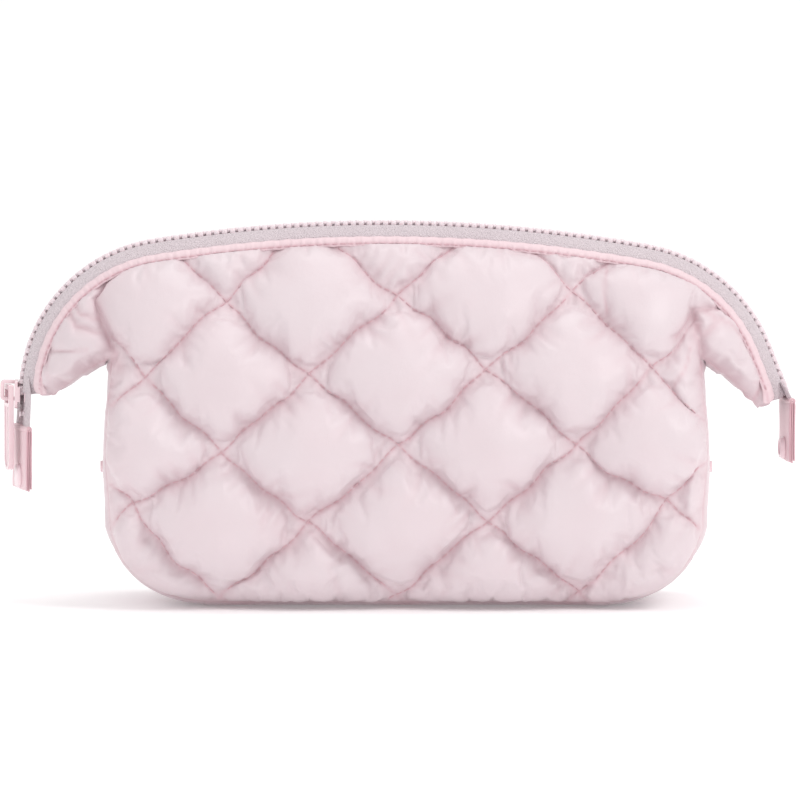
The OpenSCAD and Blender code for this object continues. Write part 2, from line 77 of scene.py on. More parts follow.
def mesh_object(name, points, quads, tris=None):
    """Smooth-shaded mesh object from arrays of points and of four- and three-cornered faces."""
    mesh = bpy.data.meshes.new(name)
    corners = quads.ravel()
    starts = np.arange(0, len(corners), 4)
    if tris is not None and len(tris):
        starts = np.concatenate([starts, len(corners) + np.arange(0, tris.size, 3)])
        corners = np.concatenate([corners, tris.ravel()])
    mesh.vertices.add(len(points))
    mesh.vertices.foreach_set("co", np.asarray(points, dtype=np.float32).ravel())
    mesh.loops.add(len(corners))
    mesh.loops.foreach_set("vertex_index", corners.astype(np.int32))
    mesh.polygons.add(len(starts))
    mesh.polygons.foreach_set("loop_start", starts.astype(np.int32))
    mesh.update(calc_edges=True)
    mesh.validate()
    mesh.shade_smooth()
    piece = bpy.data.objects.new(name, mesh)
    bpy.context.scene.collection.objects.link(piece)
    return piece


across = np.linspace(-floor_size, floor_size, 5)
flat_run = np.linspace(-floor_size, sweep_start, 12)
turn = np.linspace(0, math.pi / 2, 24)[1:]
floor_y = np.concatenate([flat_run, sweep_start + sweep_radius * np.sin(turn), [sweep_start + sweep_radius]])
floor_z = np.concatenate([0 * flat_run, sweep_radius * (1 - np.cos(turn)), [3.5]])
sweep = np.zeros((len(across), len(floor_y), 3))
sweep[..., 0] = across[:, None]
sweep[..., 1] = floor_y[None, :]
sweep[..., 2] = floor_z[None, :]
backdrop = surface("backdrop", sweep)
paper = bpy.data.materials.new("white_paper")
paper.use_nodes = True
paper.node_tree.nodes["Principled BSDF"].inputs["Base Color"].default_value = (0.98, 0.98, 0.982, 1)
paper.node_tree.nodes["Principled BSDF"].inputs["Roughness"].default_value = 0.85
paper.node_tree.nodes["Principled BSDF"].inputs["Emission Color"].default_value = (1, 1, 1, 1)
paper.node_tree.nodes["Principled BSDF"].inputs["Emission Strength"].default_value = 0.13
backdrop.data.materials.append(paper)

world = bpy.data.worlds.new("studio")
world.use_nodes = True
world.node_tree.nodes["Background"].inputs["Color"].default_value = (1.0, 0.99, 0.985, 1)
world.node_tree.nodes["Background"].inputs["Strength"].default_value = 0.85
bpy.context.scene.world = world
bpy.context.scene.view_settings.view_transform = "Standard"

middle = Vector((0.0, 0.0, 0.075))
lamps = [("window", (1.1, -0.9, 1.3), 0.9, 8.5, (1.0, 0.99, 0.98)),
         ("fill", (-1.3, -0.9, 0.7), 1.2, 1.5, (0.97, 0.98, 1.0)),
         ("top", (0.1, 0.25, 1.5), 0.9, 4.0, (1.0, 1.0, 1.0))]
for name, place, size, power, tint in lamps:
    lamp = bpy.data.lights.new(name, "AREA")
    lamp.shape = "DISK"
    lamp.size = size
    lamp.energy = power
    lamp.color = tint
    stand = bpy.data.objects.new(name, lamp)
    stand.location = place
    stand.rotation_euler = (middle - Vector(place)).to_track_quat("-Z", "Y").to_euler()
    bpy.context.scene.collection.objects.link(stand)

lens = bpy.data.cameras.new("camera")
lens.lens = 400
lens.sensor_width = 36
camera = bpy.data.objects.new("camera", lens)
camera_far = 3.42
camera_rise = math.radians(4.0)
aim = Vector((-0.0004, 0.0, 0.0776))
camera.location = aim + camera_far * Vector((0, -math.cos(camera_rise), math.sin(camera_rise)))
camera.rotation_euler = (aim - camera.location).to_track_quat("-Z", "Y").to_euler()
bpy.context.scene.collection.objects.link(camera)
bpy.context.scene.camera = camera

# The bag's shape, shared by all the soft pieces: the line of the zip, with its two shoulders and
# its long crown; the side profile, one large arc that leans in to the zip; and the seam along
# which the panels meet the gusset. All of it is in millimetres.
mm = 0.001
body_w, body_d, bulge_h, corner_r, body_shift = 232.0, 96.0, 45.0, 34.0, 2.0
crown_h, crown_r, crown_lean = 146.7, 564.0, 6.4
left_out, right_out, left_r, right_r = 33.0, 32.0, 61.0, 62.0
right_end = math.radians(22.0)
right_low = 3.0
lip_h, fold_h, neck_h = 80.0, 75.0, 95.0
edge_n, edge_w, seam_in = 9.4, 12.7, 3.0
side_x = body_w / 2
crown = np.array([-crown_lean, crown_h - crown_r])
left_x = body_shift - side_x - left_out + left_r
left_turn = math.asin((crown[0] - left_x) / (crown_r - left_r))
left_c = np.array([left_x, crown[1] + (crown_r - left_r) * math.cos(left_turn)])
right_reach = (right_r * math.cos(right_end)
               + (right_r * math.sin(right_end) - right_low) * math.tan(right_end))
right_x = body_shift + side_x + right_out - right_reach
right_turn = math.asin((right_x - crown[0]) / (crown_r - right_r))
right_c = np.array([right_x, crown[1] + (crown_r - right_r) * math.cos(right_turn)])
right_corner = right_c + right_r * np.array([math.cos(right_end), math.sin(right_end)])
right_dir = np.array([math.sin(right_end), -math.cos(right_end)])
left_rest = math.pi - math.asin((lip_h - left_c[1]) / left_r)
left_len = left_r * (left_rest - math.pi / 2 - left_turn)
crown_len = crown_r * (left_turn + right_turn)
right_len = right_r * (math.pi / 2 - right_turn - right_end)
straight_len = (right_corner[1] - lip_h) / math.cos(right_end)
route_len = left_len + crown_len + right_len + straight_len
side_r = ((body_d / 2 - edge_w) ** 2 + (crown_h - edge_n - bulge_h) ** 2) / (2 * (body_d / 2 - edge_w))


def ease(t):
    """Smooth step from 0 to 1."""
    t = np.clip(t, 0, 1)
    return t * t * (3 - 2 * t)


def route(s, n):
    """Points of the zip's line in front view (x, z) in mm: a distance s along it, n inward.

    Left shoulder arc, long crown arc, right shoulder arc, then a straight run."""
    s, n = np.broadcast_arrays(np.asarray(s, float), np.asarray(n, float))
    a1 = left_rest - s / left_r
    a2 = math.pi / 2 + left_turn - (s - left_len) / crown_r
    a3 = math.pi / 2 - right_turn - (s - left_len - crown_len) / right_r
    run = s - left_len - crown_len - right_len
    parts = [s < left_len, s < left_len + crown_len, s < left_len + crown_len + right_len]
    x = np.select(parts, [left_c[0] + (left_r - n) * np.cos(a1), crown[0] + (crown_r - n) * np.cos(a2),
                          right_c[0] + (right_r - n) * np.cos(a3)],
                  right_corner[0] + right_dir[0] * run - n * math.cos(right_end))
    z = np.select(parts, [left_c[1] + (left_r - n) * np.sin(a1), crown[1] + (crown_r - n) * np.sin(a2),
                          right_c[1] + (right_r - n) * np.sin(a3)],
                  right_corner[1] + right_dir[1] * run - n * math.sin(right_end))
    return x, z


def route_angle(s):
    """Angle of the outward direction of the zip's line at a distance along it."""
    s = np.asarray(s, float)
    return np.select([s < left_len, s < left_len + crown_len, s < left_len + crown_len + right_len],
                     [left_rest - s / left_r, math.pi / 2 + left_turn - (s - left_len) / crown_r,
                      math.pi / 2 - right_turn - (s - left_len - crown_len) / right_r], right_end)


def inside(x, z):
    """How far a front-view point lies inside the zip's outer line, in mm."""
    lean = np.arctan2(x - crown[0], z - crown[1])
    below = (x - right_corner[0]) * right_dir[0] + (z - right_corner[1]) * right_dir[1]
    left = np.where(z > left_c[1], left_r - np.hypot(x - left_c[0], z - left_c[1]), x - left_c[0] + left_r)
    straight = (right_corner[0] - x) * -right_dir[1] + (right_corner[1] - z) * right_dir[0]
    return np.select([lean < -left_turn, (below > 0) & (x > right_c[0]), lean > right_turn],
                     [left, straight, right_r - np.hypot(x - right_c[0], z - right_c[1])],
                     crown_r - np.hypot(x - crown[0], z - crown[1]))


def depth_at(h):
    """Half depth of the bag's side profile at a height: one large arc, in mm."""
    return np.sqrt(np.maximum(side_r ** 2 - (h - bulge_h) ** 2, 0)) - side_r + body_d / 2


def half_depth(x, z):
    """Half depth of the bag's mean outer surface at a front-view point, in mm."""
    side = np.abs(x - body_shift) / side_x
    rise = np.where(side > 1, 1, ease((z - fold_h) / 20))
    near_zip = depth_at(crown_h - np.minimum(inside(x, z), crown_h - bulge_h))
    body = depth_at(z) - 2.5 * np.minimum(side, 1.4) ** 4
    return body + (np.minimum(body, near_zip) - body) * rise


def side_edge(h):
    """Half width of the panels' seam line at a height above the bottom, in mm."""
    low = np.clip(h - seam_in, 0, corner_r)
    arc = corner_r - np.sqrt(np.maximum(corner_r ** 2 - (corner_r - low) ** 2, 0))
    corner = np.where(low < corner_r, arc, 0)
    swell = 2.4 * np.sin(np.radians(np.minimum(180, h * 1.9)))
    draw = seam_in - 1.8 * ease((h - 36) / 26)
    return side_x + swell - 2.4 - draw - corner + np.minimum(corner, seam_in * 0.2)


wing_len, neck_len = 60.0, 12.0
tip_n = edge_n + 3.6


def wing_edge(side, t):
    """Lower edge of a wing in front view: t = 0 at the neck, 1 at the tip, arched up between."""
    tip = np.array(route(0 if side < 0 else route_len, tip_n))
    neck = np.array([body_shift + side * (side_x - 3.2), neck_h])
    lift = 2.6 * np.sin(np.pi * np.minimum(1, t * 1.1)) * (1 - t)
    return neck[0] + (tip[0] - neck[0]) * t, neck[1] + (tip[1] - neck[1]) * t + lift


seam_foot = 2.6                            # height of the panels' bottom seam


def seam_line(count_wing, count_side, count_foot):
    """The panels' outer seam in front view, from the left tip round the bottom to the right tip."""
    t = np.linspace(1, 0, count_wing)
    wx, wz = wing_edge(-1, t)
    # heights down the side: even down to the corner, then even in angle round the corner
    turn = np.linspace(0, math.pi / 2, count_side // 2)
    h = np.concatenate([np.linspace(neck_h, corner_r, count_side - count_side // 2, endpoint=False),
                        seam_foot + (corner_r - seam_foot) * (1 - np.sin(turn))])
    sx = body_shift - side_edge(h)
    fx = np.linspace(sx[-1], 2 * body_shift - sx[-1], count_foot)[1:-1]
    x = np.concatenate([wx[:-1], sx, fx])
    z = np.concatenate([wz[:-1], h, np.full(count_foot - 2, seam_foot)])
    rx, rz = wing_edge(1, t)
    x = np.concatenate([x, 2 * body_shift - sx[::-1], rx[:-1][::-1]])
    z = np.concatenate([z, h[::-1], rz[:-1][::-1]])
    return x, z


fall_r, fall_d = 8.5, 6.5


def edge_fall(gap):
    """How far the panels' face curves back towards their seam, by distance from the seam, mm."""
    t = np.clip(gap / fall_r, 0, 1)
    return fall_d * (1 - np.sqrt(1 - (1 - t) ** 2))


# Front and back panel: puffy nylon satin over wadding, quilted in diamonds by two crossing runs
# of stitching. The stitches hold the fabric down in deep valleys, and its spare length between
# them gathers into small puckers along every run.
cell = 1.2
quilt_u, quilt_v = 34.6, 28.3              # half the width and half the height of a diamond
quilt_x, quilt_z = -1.0, 62.4              # one crossing of the runs
valley_d, puff_h = 4.6, 8.2


def quilt_place(x, z):
    """Diamond coordinates (p, q) of a front-view point; the stitch runs lie at whole numbers.

    The fabric curves away at the sides, which draws the runs together there and lifts the low ones."""
    far = np.clip((np.abs(x) - 60) / 43, 0, 1)
    upper = ease((z - 40) / 45)
    wide = (x - quilt_x) * (1 + (0.02 + 0.062 * upper) * (x / 98) ** 2)
    tall = z - quilt_z - 8.0 * far ** 2 * np.exp(-((z - 42) / 22) ** 2) - 1.2 * np.sin(x / 47)
    tall = tall + 0.55 * np.sin(x / 2.3 + 0.8 * np.sin(z / 11)) + 0.7 * np.sin(x / 8.3 + z / 13)
    wide = wide + 0.45 * np.sin(z / 2.7 + np.sin(x / 9)) + 0.7 * np.sin(z / 9.1 - x / 17)
    u = wide / quilt_u
    v = tall / quilt_v
    return (u + v) / 2, (u - v) / 2


run_gap = 1 / (0.5 * math.hypot(1 / quilt_u, 1 / quilt_v))


def run_distance(x, z):
    """Signed distances in mm from a front-view point to the nearest run of each direction."""
    p, q = quilt_place(x, z)
    return (p - np.round(p)) * run_gap, (q - np.round(q)) * run_gap


# Folds in the wings, where the panel is gathered to the short zip: a few points, depth and width.
wing_folds = [
    ([(-108, 129), (-112.5, 125), (-114.8, 116), (-114.2, 109), (-111, 99), (-107, 92)], 6.5, 3.4),
    ([(-121, 125), (-117, 121.5), (-114, 120)], 3.4, 2.0),
    ([(-128, 113), (-122.6, 105.7), (-115.5, 104.6)], 3.6, 2.4),
    ([(-127, 117.5), (-121.3, 110.5), (-114.8, 109)], 3.0, 2.2),
    ([(-137, 98), (-128, 97), (-120, 98)], 1.4, 3.0),
    ([(104.6, 103.5), (107.4, 107.2), (111.3, 112)], 5.2, 2.4),
    ([(111.3, 112), (116, 113), (122.8, 112.4), (127.5, 110)], 4.4, 2.0),
    ([(112.8, 104), (116, 103.6), (119.4, 106.6), (119, 109.5), (116, 112)], 3.6, 1.5),
    ([(112, 111), (114.1, 106.6), (113.5, 102)], 3.0, 1.2),
    ([(119.9, 108.6), (126.7, 104.7), (134.4, 98), (139.4, 90)], 3.4, 2.2),
    ([(111.3, 112), (113.2, 103.8), (114.6, 97), (115.5, 88)], 6.0, 2.6),
    ([(79.5, 130), (78.5, 120), (77.4, 108)], 1.8, 4.0),
    ([(103, 84), (108, 92), (111, 101)], 1.8, 2.6),
]


def line_distance(x, z, line):
    """Distance in mm from front-view points to a line through a few points."""
    line = np.asarray(line, float)
    a, b = line[:-1], line[1:]
    d = b - a
    px = x[..., None] - a[:, 0]
    pz = z[..., None] - a[:, 1]
    t = np.clip((px * d[:, 0] + pz * d[:, 1]) / (d ** 2).sum(1), 0, 1)
    return np.hypot(px - t * d[:, 0], pz - t * d[:, 1]).min(-1)


def in_wing(x, z):
    """1 in the wings, 0 in the body, where the quilting shows."""
    return np.maximum(ease((-x - 110.5) / 3), ease((x - 110) / 4)) * ease((z - 88) / 6)


def panel_outline():
    """The panel's cut edge in front view: its seam, then back under the binding along the zip."""
    sx, sz = seam_line(24, 60, 50)
    tx, tz = route(np.linspace(route_len, 0, 180), 8.3)
    return np.stack([np.concatenate([sx, tx]), np.concatenate([sz, tz])], axis=1)


def gap_to(x, z, outline):
    """Signed distance in mm from front-view points to a closed outline, positive inside it."""
    a, b = outline, np.roll(outline, -1, axis=0)
    d = b - a
    keep = (d ** 2).sum(1) > 1e-9
    a, b, d = a[keep], b[keep], d[keep]
    px = x[:, None] - a[:, 0]
    pz = z[:, None] - a[:, 1]
    t = np.clip((px * d[:, 0] + pz * d[:, 1]) / (d ** 2).sum(1), 0, 1)
    ox = px - t * d[:, 0]
    oz = pz - t * d[:, 1]
    far = np.hypot(ox, oz)
    best = far.argmin(1)
    row = np.arange(len(x))
    crossing = (a[:, 1] > z[:, None]) != (b[:, 1] > z[:, None])
    with np.errstate(divide="ignore", invalid="ignore"):
        at = a[:, 0] + (z[:, None] - a[:, 1]) * d[:, 0] / d[:, 1]
    hits = (crossing & (x[:, None] < at)).sum(1) % 2
    return far[row, best] * np.where(hits == 1, 1, -1), ox[row, best], oz[row, best]


outline = panel_outline()
seam = np.stack(seam_line(24, 60, 50), axis=1)


def puff(x, z, fullness):
    """Height of the wadding above the valleys, in mm: a pillow in every diamond, less the folds."""
    p, q = quilt_place(x, z)
    side_p = 2 * np.abs(p - np.round(p))
    side_q = 2 * np.abs(q - np.round(q))
    pillow = np.maximum(1 - (1 - side_p) ** 2, 0) * np.maximum(1 - (1 - side_q) ** 2, 0)
    wing = in_wing(x, z)
    height = puff_h * (pillow ** fullness * (1 - wing) + 0.62 * wing)
    folds = [depth * np.exp(-(line_distance(x, z, line) / width) ** 1.5) for line, depth, width in wing_folds]
    return np.maximum(height - np.max(folds, axis=0), -2.4)


def face_depth(x, z, fullness=0.5):
    """Half depth of the panel's outer face at a front-view point, in mm."""
    gap = line_distance(x, z, seam)
    rim = np.clip((inside(x, z) - 8.2) / 7.5, 0, 1)
    mouth = np.sqrt(1 - (1 - rim) ** 2)
    height = puff(x, z, fullness) * ease(gap / 6) * (0.12 + 0.88 * mouth) - valley_d * (0.3 + 0.7 * mouth)
    return half_depth(x, z) + height - edge_fall(gap)


grid_x, grid_z = np.meshgrid(np.arange(-150, 151, cell), np.arange(0, 142, cell), indexing="ij")
shape = grid_x.shape
gx, gz = grid_x.ravel(), grid_z.ravel()
gap, ox, oz = gap_to(gx, gz, outline)
kept = gap > -0.5 * cell
edge = kept & (gap < 0.5 * cell)
gx = np.where(edge, gx - ox, gx)
gz = np.where(edge, gz - oz, gz)
stitched = np.zeros(len(gx), bool)
for direction in (0, 1):
    for attempt in (0, 1):
        gaps = run_distance(gx, gz)[direction]
        if attempt == 0:
            near = (np.abs(gaps) < 0.42 * cell) & ~edge & (in_wing(gx, gz) < 0.5)
        lean = 1 if direction == 0 else -1
        along = np.array([1 / quilt_u, lean / quilt_v]) / math.hypot(1 / quilt_u, 1 / quilt_v)
        gx = np.where(near, gx - gaps * along[0], gx)
        gz = np.where(near, gz - gaps * along[1], gz)
    stitched |= near
number = np.full(len(gx), -1)
number[kept] = np.arange(kept.sum())
number = number.reshape(shape)
corners = np.stack([number[:-1, :-1], number[1:, :-1], number[1:, 1:], number[:-1, 1:]], axis=-1)
corners = corners.reshape(-1, 4)
held = (corners >= 0).sum(1)
quads = corners[held == 4]
three = corners[held == 3]
tris = three[three >= 0].reshape(-1, 3)
px, pz = gx[kept], gz[kept]
pinned = (edge | stitched)[kept]
grain = np.random.default_rng(7)
waves = grain.uniform(-1, 1, (40, 4))
rough = sum(np.sin(px * w[0] * 0.35 + pz * w[1] * 0.35 + 3 * w[2]) * w[3] for w in waves) * 0.12
py = -(face_depth(px, pz) + rough * ~pinned)
front_points = np.stack([px, py, pz], axis=1)


def puffed(points, quads, tris, pinned):
    """The panel's points after its wadding has pushed the fabric out between the stitches.

    Cloth held at its stitches and edges, a little longer than its valleys, under even pressure."""
    scale = 0.01                           # worked at ten times its size, where cloth is steady
    work = mesh_object("work_cloth", points * scale, quads, tris)
    group = work.vertex_groups.new(name="held")
    group.add(np.nonzero(pinned)[0].tolist(), 1.0, "REPLACE")
    cloth = work.modifiers.new("cloth", "CLOTH")
    kit = cloth.settings
    kit.quality = 4
    kit.mass = 0.25
    kit.tension_stiffness = 12
    kit.compression_stiffness = 12
    kit.shear_stiffness = 3
    kit.bending_stiffness = 0.04
    kit.tension_damping = 8
    kit.compression_damping = 8
    kit.shear_damping = 8
    kit.air_damping = 3
    kit.vertex_group_mass = "held"
    kit.shrink_min = -0.11
    kit.use_pressure = True
    kit.uniform_pressure_force = 5.0
    kit.effector_weights.gravity = 0
    cloth.collision_settings.use_collision = False
    cloth.collision_settings.use_self_collision = False
    cloth.point_cache.frame_start = 1
    cloth.point_cache.frame_end = 26
    scene = bpy.context.scene
    for step in range(1, 27):
        scene.frame_set(step)
    done = work.evaluated_get(bpy.context.evaluated_depsgraph_get()).to_mesh()
    moved = np.empty(len(points) * 3, np.float32)
    done.vertices.foreach_get("co", moved)
    scene.frame_set(1)
    bpy.data.objects.remove(work, do_unlink=True)
    shift = moved.reshape(-1, 3) / scale - points
    far = np.linalg.norm(shift, axis=1, keepdims=True)
    return points + shift * np.minimum(1, 7.0 / np.maximum(far, 1e-6))


front_points = puffed(front_points, quads, tris, pinned)
run_p, run_q = run_distance(px, pz)
at_p, at_q = quilt_place(px, pz)
run_scale = math.hypot(quilt_u, quilt_v)


def creases(along, away, pitch, seed):
    """Depth of the puckers beside one line of stitching, by the place along it and away from it.

    Each pucker is a crease square to the stitches, with its own spacing, depth, length and slant."""
    dice = np.random.default_rng(seed)
    start, stop = along.min() - 5, along.max() + 5
    at = start + np.cumsum(pitch * dice.uniform(0.45, 1.6, int((stop - start) / pitch) + 4))
    deep = dice.uniform(0.25, 1.15, len(at)) ** 1.3
    length = 2.5 + 9.0 * dice.uniform(0, 1, len(at)) ** 2.2
    slant = dice.uniform(-0.45, 0.45, len(at))
    offset = along[:, None] - at[None, :] - slant[None, :] * away[:, None]
    width = 0.95 + 0.09 * away[:, None]
    reach = (1 - np.exp(-(away[:, None] / 0.8) ** 2)) * np.exp(-(away[:, None] / length[None, :]) ** 2)
    return np.max(deep[None, :] * reach * np.exp(-(offset / width) ** 2), axis=1)


pucker = np.zeros(len(px))
for direction, (line_at, run_at, other) in enumerate(((run_p, at_p, at_q), (run_q, at_q, at_p))):
    for number_at in range(-5, 6):
        for half_side in (-1, 1):
            here = (np.round(run_at) == number_at) & (line_at * half_side > 0)
            if here.sum() > 30:
                found = creases(other[here] * run_scale, np.abs(line_at[here]), 4.2,
                                1000 * direction + 20 * number_at + half_side + 300)
                pucker[here] = np.maximum(pucker[here], found)
pucker = pucker * (1 - in_wing(px, pz))
rim_at = inside(px, pz) - 8.2
along_rim = np.where(rim_at < 26, px * 1.04, px)
pucker = np.maximum(pucker, 0.9 * creases(along_rim, np.maximum(rim_at, 0), 4.6, 71))
side_gap = line_distance(px, pz, seam)
flank = np.abs(px - body_shift) > side_x - 30
pucker = np.maximum(pucker, 0.8 * creases(np.where(flank, pz, px), side_gap, 5.2, 88) * (pz < 88))
front_points[:, 1] += 2.0 * pucker * ~pinned
sag = puff(px, pz, 0.6) / puff_h * ease((pz - 8) / 14)
sag = sag * ease(line_distance(px, pz, seam) / 12) * ease(rim_at / 14)
front_points[:, 2] -= 2.0 * np.clip(sag, 0, 1) * (1 - in_wing(px, pz))
# Painted shade: this mask pulls the satin towards its deep tint in the stitch valleys, along the wing folds,
# in the puckers and beside the outer seam.
run_near = np.minimum(np.abs(run_p), np.abs(run_q)) + 30 * in_wing(px, pz)
fold_near = [line_distance(px, pz, line) / (0.35 * depth) for line, depth, width in wing_folds]
fold_near = np.min(fold_near, axis=0)
seam_shade_paint = np.maximum(0.85 * np.exp(-(run_near / 1.2)), 0.8 * np.exp(-fold_near))
seam_shade_paint = np.maximum(seam_shade_paint, 0.35 * pucker)
seam_shade_paint = np.maximum(seam_shade_paint, 0.6 * np.exp(-line_distance(px, pz, seam) / 1.8))


def mask(piece, name, values):
    """Keeps one number for each point of a piece, for its material."""
    kept_values = piece.data.attributes.new(name, "FLOAT", "POINT")
    kept_values.data.foreach_set("value", np.asarray(values, dtype=np.float32))


def node_group(name, inputs, outputs):
    """An empty shader node group with named inputs and outputs."""
    group = bpy.data.node_groups.new(name, "ShaderNodeTree")
    for label, kind, value in inputs:
        socket = group.interface.new_socket(label, in_out="INPUT", socket_type=kind)
        if value is not None:
            socket.default_value = value
    for label, kind in outputs:
        group.interface.new_socket(label, in_out="OUTPUT", socket_type=kind)
    return group


def join(tree, start, end):
    tree.links.new(start, end)


# Cloth tone: a soft cloudy variation between two tints, and painted shade towards the deep tint wherever a
# point mask asks for it.
cloth_tone = node_group("cloth_tone", [("Light", "NodeSocketColor", None),
                                       ("Deep", "NodeSocketColor", None),
                                       ("Painted shade", "NodeSocketFloat", 0.0),
                                       ("Cloud size", "NodeSocketFloat", 40.0)],
                        [("Color", "NodeSocketColor")])
inlet = cloth_tone.nodes.new("NodeGroupInput")
outlet = cloth_tone.nodes.new("NodeGroupOutput")
place = cloth_tone.nodes.new("ShaderNodeTexCoord")
cloud = cloth_tone.nodes.new("ShaderNodeTexNoise")
cloud.inputs["Detail"].default_value = 3
spread = cloth_tone.nodes.new("ShaderNodeMapRange")
spread.inputs["From Min"].default_value = 0.35
spread.inputs["From Max"].default_value = 0.75
spread.inputs["To Max"].default_value = 0.16
total = cloth_tone.nodes.new("ShaderNodeMath")
total.operation = "ADD"
total.use_clamp = True
blend_tint = cloth_tone.nodes.new("ShaderNodeMix")
blend_tint.data_type = "RGBA"
join(cloth_tone, place.outputs["Object"], cloud.inputs["Vector"])
join(cloth_tone, inlet.outputs["Cloud size"], cloud.inputs["Scale"])
join(cloth_tone, cloud.outputs["Fac"], spread.inputs["Value"])
join(cloth_tone, spread.outputs["Result"], total.inputs[0])
join(cloth_tone, inlet.outputs["Painted shade"], total.inputs[1])
join(cloth_tone, total.outputs[0], blend_tint.inputs["Factor"])
join(cloth_tone, inlet.outputs["Light"], blend_tint.inputs["A"])
join(cloth_tone, inlet.outputs["Deep"], blend_tint.inputs["B"])
join(cloth_tone, blend_tint.outputs["Result"], outlet.inputs["Color"])

# Fine weave: crossing threads and soft crumples, as a height for a bump.
fine_weave = node_group("fine_weave", [("Threads", "NodeSocketFloat", 2600.0),
                                       ("Crumple", "NodeSocketFloat", 90.0),
                                       ("Thread share", "NodeSocketFloat", 0.1)],
                        [("Height", "NodeSocketFloat")])
inlet = fine_weave.nodes.new("NodeGroupInput")
outlet = fine_weave.nodes.new("NodeGroupOutput")
place = fine_weave.nodes.new("ShaderNodeTexCoord")
crumple = fine_weave.nodes.new("ShaderNodeTexNoise")
crumple.inputs["Detail"].default_value = 5
crumple.inputs["Roughness"].default_value = 0.6
threads = fine_weave.nodes.new("ShaderNodeTexVoronoi")
threads.distance = "CHEBYCHEV"
mixed = fine_weave.nodes.new("ShaderNodeMath")
mixed.operation = "MULTIPLY_ADD"
join(fine_weave, place.outputs["Object"], crumple.inputs["Vector"])
join(fine_weave, place.outputs["Object"], threads.inputs["Vector"])
join(fine_weave, inlet.outputs["Crumple"], crumple.inputs["Scale"])
join(fine_weave, inlet.outputs["Threads"], threads.inputs["Scale"])
join(fine_weave, threads.outputs["Distance"], mixed.inputs[0])
join(fine_weave, inlet.outputs["Thread share"], mixed.inputs[1])
join(fine_weave, crumple.outputs["Fac"], mixed.inputs[2])
join(fine_weave, mixed.outputs[0], outlet.inputs["Height"])


def fabric(name, light, deep, roughness, sheen, bump, threads=2600.0, crumple=90.0, share=0.1,
           attribute=None):
    """A woven fabric: cloudy tone, painted shade towards the deep tint from an optional point mask, fine
    weave and crumple, soft sheen.
    """
    made = bpy.data.materials.new(name)
    made.use_nodes = True
    tree = made.node_tree
    shader = tree.nodes["Principled BSDF"]
    shader.inputs["Roughness"].default_value = roughness
    shader.inputs["Sheen Weight"].default_value = sheen
    shader.inputs["Sheen Roughness"].default_value = 0.4
    shader.inputs["Sheen Tint"].default_value = (1.0, 0.93, 0.95, 1)
    shader.inputs["Specular IOR Level"].default_value = 0.42
    tone = tree.nodes.new("ShaderNodeGroup")
    tone.node_tree = cloth_tone
    tone.inputs["Light"].default_value = (*light, 1)
    tone.inputs["Deep"].default_value = (*deep, 1)
    join(tree, tone.outputs["Color"], shader.inputs["Base Color"])
    if attribute:
        shade_paint = tree.nodes.new("ShaderNodeAttribute")
        shade_paint.attribute_name = attribute
        join(tree, shade_paint.outputs["Fac"], tone.inputs["Painted shade"])
    weave = tree.nodes.new("ShaderNodeGroup")
    weave.node_tree = fine_weave
    weave.inputs["Threads"].default_value = threads
    weave.inputs["Crumple"].default_value = crumple
    weave.inputs["Thread share"].default_value = share
    relief = tree.nodes.new("ShaderNodeBump")
    relief.inputs["Strength"].default_value = bump
    relief.inputs["Distance"].default_value = 0.0006
    join(tree, weave.outputs["Height"], relief.inputs["Height"])
    join(tree, relief.outputs["Normal"], shader.inputs["Normal"])
    return made


# The satin's deep tint is painted shade, laid on by a point mask in the valleys, folds, puckers and seams;
# the cloudy change between the two tints is its own tone.
satin = fabric("nylon_satin", (0.72, 0.625, 0.655), (0.665, 0.475, 0.515), 0.38, 0.25, 0.6,
               attribute="painted_shade")
front = mesh_object("front_quilt", front_points * mm, quads, tris)
back = mesh_object("back_quilt", front_points * np.array([1, -1, 1]) * mm, quads[:, ::-1], tris[:, ::-1])
for piece, side in ((front, "front"), (back, "back")):
    mask(piece, "painted_shade", seam_shade_paint)
    finer = piece.modifiers.new("finer", "SUBSURF")
    finer.levels = 1
    finer.render_levels = 1
    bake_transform(piece)
    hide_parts(side + "_panel_lower", side + "_panel_upper")
    piece.data.materials.append(satin)

# Quilting thread: dusty pink stitches that lie in the valleys, sewn through all the layers.
stitch_l, stitch_pitch, thread_r = 2.5, 3.3, 0.25


def capsules(name, starts, ends, radius, around=6):
    """Rounded rods from many starts to their ends: rings that shrink to nothing at both ends."""
    turn = np.linspace(0, 2 * math.pi, around, endpoint=False)
    along = np.array([0.0, 0.06, 0.2, 0.5, 0.8, 0.94, 1.0])
    size = radius * np.array([0.05, 0.6, 1, 1.05, 1, 0.6, 0.05])
    run = ends - starts
    run = run / np.linalg.norm(run, axis=1, keepdims=True)
    helper = np.where(np.abs(run[:, :1]) < 0.8, [[1.0, 0, 0]], [[0, 0, 1.0]])
    a = np.cross(run, helper)
    a = a / np.linalg.norm(a, axis=1, keepdims=True)
    b = np.cross(run, a)
    ring = np.cos(turn)[None, :, None] * a[:, None, :] + np.sin(turn)[None, :, None] * b[:, None, :]
    middle = starts[:, None, :] + (ends - starts)[:, None, :] * along[None, :, None]
    points = middle[:, :, None, :] + ring[:, None, :, :] * size[None, :, None, None]
    index = np.arange(points.shape[0] * len(along) * around).reshape(points.shape[0], len(along), around)
    after = np.roll(index, -1, axis=2)
    cells = np.stack([index[:, :-1], after[:, :-1], after[:, 1:], index[:, 1:]], axis=-1).reshape(-1, 4)
    return mesh_object(name, points.reshape(-1, 3), cells)


def run_points(direction, number):
    """Front-view points along one quilting run, found by steps back from its diamond coordinates."""
    t = np.linspace(-5, 5, 4000)
    p = np.full_like(t, number) if direction == 0 else t
    q = t if direction == 0 else np.full_like(t, number)
    x = (p + q) * quilt_u + quilt_x
    z = (p - q) * quilt_v + quilt_z
    for step in range(12):
        at_p, at_q = quilt_place(x, z)
        x = x + ((p + q) - (at_p + at_q)) * quilt_u * 0.8
        z = z + ((p - q) - (at_p - at_q)) * quilt_v * 0.8
    return x, z


